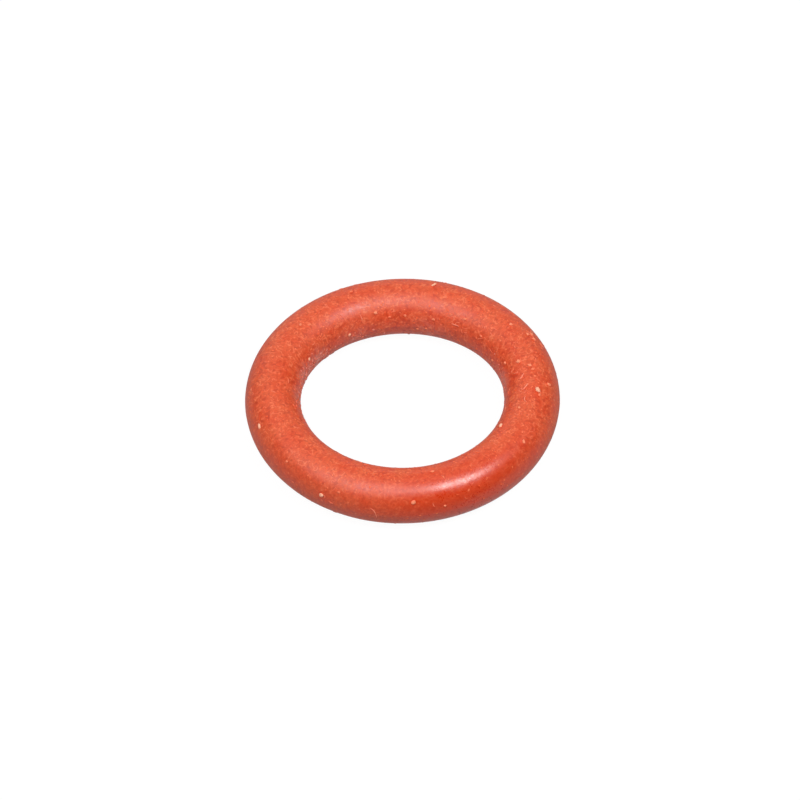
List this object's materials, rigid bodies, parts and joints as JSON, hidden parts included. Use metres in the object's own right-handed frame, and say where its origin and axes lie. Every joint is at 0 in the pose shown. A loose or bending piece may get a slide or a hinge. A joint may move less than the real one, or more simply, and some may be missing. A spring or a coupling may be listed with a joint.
{
  "type": "silicone o-ring",
  "caption": "Moulded silicone sealing ring of round section, with a fine trimmed parting line round its inside and its outside.",
  "frame": {"origin": "centre of the ring, on the plane of the mould's parting line", "axes": "+Z along the ring's axis; X and Y lie across the ring, which is the same in every direction"},
  "size_m": [0.017, 0.017, 0.003],
  "materials": {
    "silicone": "satin"
  },
  "bodies": {
    "root": {"o_ring": "silicone"}
  },
  "joints": []
}
